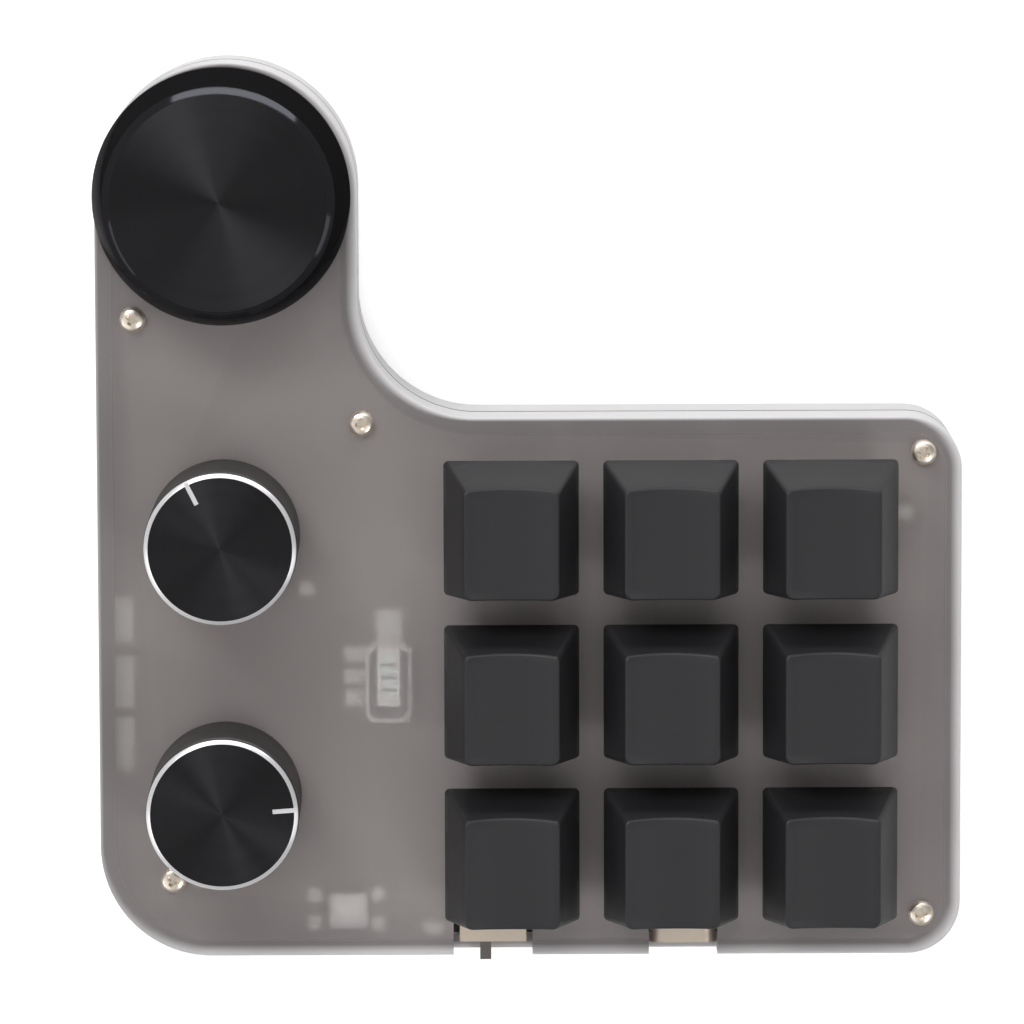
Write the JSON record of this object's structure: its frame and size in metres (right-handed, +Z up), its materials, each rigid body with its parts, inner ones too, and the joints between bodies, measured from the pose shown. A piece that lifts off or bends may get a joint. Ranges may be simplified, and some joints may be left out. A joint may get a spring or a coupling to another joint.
{
  "type": "macro keypad with knobs",
  "caption": "Desk macro keypad: tall mechanical keys in a square block beside a large and two small push-turn knobs, on a flat frosted case with a slide switch and a USB-C inlet.",
  "frame": {"origin": "middle of the bounding box in plan, at the underside of the feet", "axes": "+X to the right with the knobs on the left, +Y away from the edge that carries the USB inlet, towards the big knob, +Z up from the desk"},
  "size_m": [0.1162, 0.1218, 0.0347],
  "materials": {
    "frosted_top": "clear plastic, frosted, seen grey over the board",
    "frosted_bottom": "clear plastic, frosted",
    "board_black": "black solder mask",
    "screw_steel": "nickel plated steel",
    "foot_rubber": "dark rubber",
    "keycap_black": "fine textured black plastic",
    "stem_plastic": "moulded slider",
    "spring_steel": "drawn wire",
    "housing_plastic": "moulded black plastic",
    "contact_brass": "stamped contact",
    "socket_plastic": "moulded black plastic",
    "encoder_plastic": "moulded dark plastic",
    "frame_steel": "tinned sheet steel",
    "rotor_plastic": "moulded plastic",
    "shaft_aluminium": "turned",
    "core_plastic": "moulded black plastic",
    "knob_aluminium": "black anodised, spun top, bright cut bevel",
    "port_steel": "drawn sheet steel",
    "port_plastic": "moulded tongue",
    "slide_steel": "folded sheet steel",
    "lever_plastic": "moulded black plastic",
    "header_plastic": "moulded white plastic",
    "battery_foil": "laminated foil pouch",
    "lead_plastic": "insulated wire"
  },
  "bodies": {
    "base": {"battery_cell": "battery_foil", "battery_leads": "lead_plastic", "bottom_shell": "frosted_bottom", "case_screws": "screw_steel", "circuit_board": "board_black", "encoder_bases": "encoder_plastic", "encoder_frames": "frame_steel", "header_housing": "header_plastic", "header_pins": "contact_brass", "key_spring_r1c1": "spring_steel", "key_spring_r1c2": "spring_steel", "key_spring_r1c3": "spring_steel", "key_spring_r2c1": "spring_steel", "key_spring_r2c2": "spring_steel", "key_spring_r2c3": "spring_steel", "key_spring_r3c1": "spring_steel", "key_spring_r3c2": "spring_steel", "key_spring_r3c3": "spring_steel", "reset_button_body": "slide_steel", "rubber_feet": "foot_rubber", "slide_switch_body": "slide_steel", "switch_lower_housings": "housing_plastic", "switch_pins": "contact_brass", "switch_sockets": "socket_plastic", "switch_upper_housings": "housing_plastic", "top_shell": "frosted_top", "usb_c_shell": "port_steel", "usb_c_tongue": "port_plastic"},
    "key_r1c1": {"keycap_r1c1": "keycap_black", "key_stem_r1c1": "stem_plastic"},
    "key_r1c2": {"keycap_r1c2": "keycap_black", "key_stem_r1c2": "stem_plastic"},
    "key_r1c3": {"keycap_r1c3": "keycap_black", "key_stem_r1c3": "stem_plastic"},
    "key_r2c1": {"keycap_r2c1": "keycap_black", "key_stem_r2c1": "stem_plastic"},
    "key_r2c2": {"keycap_r2c2": "keycap_black", "key_stem_r2c2": "stem_plastic"},
    "key_r2c3": {"keycap_r2c3": "keycap_black", "key_stem_r2c3": "stem_plastic"},
    "key_r3c1": {"keycap_r3c1": "keycap_black", "key_stem_r3c1": "stem_plastic"},
    "key_r3c2": {"keycap_r3c2": "keycap_black", "key_stem_r3c2": "stem_plastic"},
    "key_r3c3": {"keycap_r3c3": "keycap_black", "key_stem_r3c3": "stem_plastic"},
    "big_rotor": {"big_encoder_rotor": "rotor_plastic"},
    "big_knob": {"big_encoder_shaft": "shaft_aluminium", "big_knob_core": "core_plastic", "big_knob_shell": "knob_aluminium"},
    "middle_rotor": {"middle_encoder_rotor": "rotor_plastic"},
    "middle_knob": {"middle_encoder_shaft": "shaft_aluminium", "middle_knob_core": "core_plastic", "middle_knob_shell": "knob_aluminium"},
    "lower_rotor": {"lower_encoder_rotor": "rotor_plastic"},
    "lower_knob": {"lower_encoder_shaft": "shaft_aluminium", "lower_knob_core": "core_plastic", "lower_knob_shell": "knob_aluminium"},
    "slide_lever": {"slide_switch_lever": "lever_plastic"},
    "reset_plunger": {"reset_button_plunger": "lever_plastic"}
  },
  "joints": [
    {"name": "key_press_r1c1", "type": "slide", "parent": "base", "child": "key_r1c1", "axis": [0, 0, -1], "range_m": [0, 0.004], "stiffness_N_per_m": 80, "springref_m": -0.004, "deforming": ["key_spring_r1c1"]},
    {"name": "key_press_r1c2", "type": "slide", "parent": "base", "child": "key_r1c2", "axis": [0, 0, -1], "range_m": [0, 0.004], "stiffness_N_per_m": 80, "springref_m": -0.004, "deforming": ["key_spring_r1c2"]},
    {"name": "key_press_r1c3", "type": "slide", "parent": "base", "child": "key_r1c3", "axis": [0, 0, -1], "range_m": [0, 0.004], "stiffness_N_per_m": 80, "springref_m": -0.004, "deforming": ["key_spring_r1c3"]},
    {"name": "key_press_r2c1", "type": "slide", "parent": "base", "child": "key_r2c1", "axis": [0, 0, -1], "range_m": [0, 0.004], "stiffness_N_per_m": 80, "springref_m": -0.004, "deforming": ["key_spring_r2c1"]},
    {"name": "key_press_r2c2", "type": "slide", "parent": "base", "child": "key_r2c2", "axis": [0, 0, -1], "range_m": [0, 0.004], "stiffness_N_per_m": 80, "springref_m": -0.004, "deforming": ["key_spring_r2c2"]},
    {"name": "key_press_r2c3", "type": "slide", "parent": "base", "child": "key_r2c3", "axis": [0, 0, -1], "range_m": [0, 0.004], "stiffness_N_per_m": 80, "springref_m": -0.004, "deforming": ["key_spring_r2c3"]},
    {"name": "key_press_r3c1", "type": "slide", "parent": "base", "child": "key_r3c1", "axis": [0, 0, -1], "range_m": [0, 0.004], "stiffness_N_per_m": 80, "springref_m": -0.004, "deforming": ["key_spring_r3c1"]},
    {"name": "key_press_r3c2", "type": "slide", "parent": "base", "child": "key_r3c2", "axis": [0, 0, -1], "range_m": [0, 0.004], "stiffness_N_per_m": 80, "springref_m": -0.004, "deforming": ["key_spring_r3c2"]},
    {"name": "key_press_r3c3", "type": "slide", "parent": "base", "child": "key_r3c3", "axis": [0, 0, -1], "range_m": [0, 0.004], "stiffness_N_per_m": 80, "springref_m": -0.004, "deforming": ["key_spring_r3c3"]},
    {"name": "big_turn", "type": "hinge", "parent": "base", "child": "big_rotor", "pos_m": [-0.04085, 0.0432, 0.018], "axis": [0, 0, 1], "continuous": true},
    {"name": "big_push", "type": "slide", "parent": "big_rotor", "child": "big_knob", "axis": [0, 0, -1], "range_m": [0, 0.0005], "stiffness_N_per_m": 1500, "springref_m": -0.002},
    {"name": "middle_turn", "type": "hinge", "parent": "base", "child": "middle_rotor", "pos_m": [-0.04085, -0.00225, 0.018], "axis": [0, 0, 1], "continuous": true},
    {"name": "middle_push", "type": "slide", "parent": "middle_rotor", "child": "middle_knob", "axis": [0, 0, -1], "range_m": [0, 0.0005], "stiffness_N_per_m": 1500, "springref_m": -0.002},
    {"name": "lower_turn", "type": "hinge", "parent": "base", "child": "lower_rotor", "pos_m": [-0.04085, -0.03775, 0.018], "axis": [0, 0, 1], "continuous": true},
    {"name": "lower_push", "type": "slide", "parent": "lower_rotor", "child": "lower_knob", "axis": [0, 0, -1], "range_m": [0, 0.0005], "stiffness_N_per_m": 1500, "springref_m": -0.002},
    {"name": "power_slide", "type": "slide", "parent": "base", "child": "slide_lever", "axis": [1, 0, 0], "range_m": [0, 0.002]},
    {"name": "reset_press", "type": "slide", "parent": "base", "child": "reset_plunger", "axis": [0, 0, -1], "range_m": [0, 0.00025], "stiffness_N_per_m": 1000, "springref_m": -0.001}
  ]
}
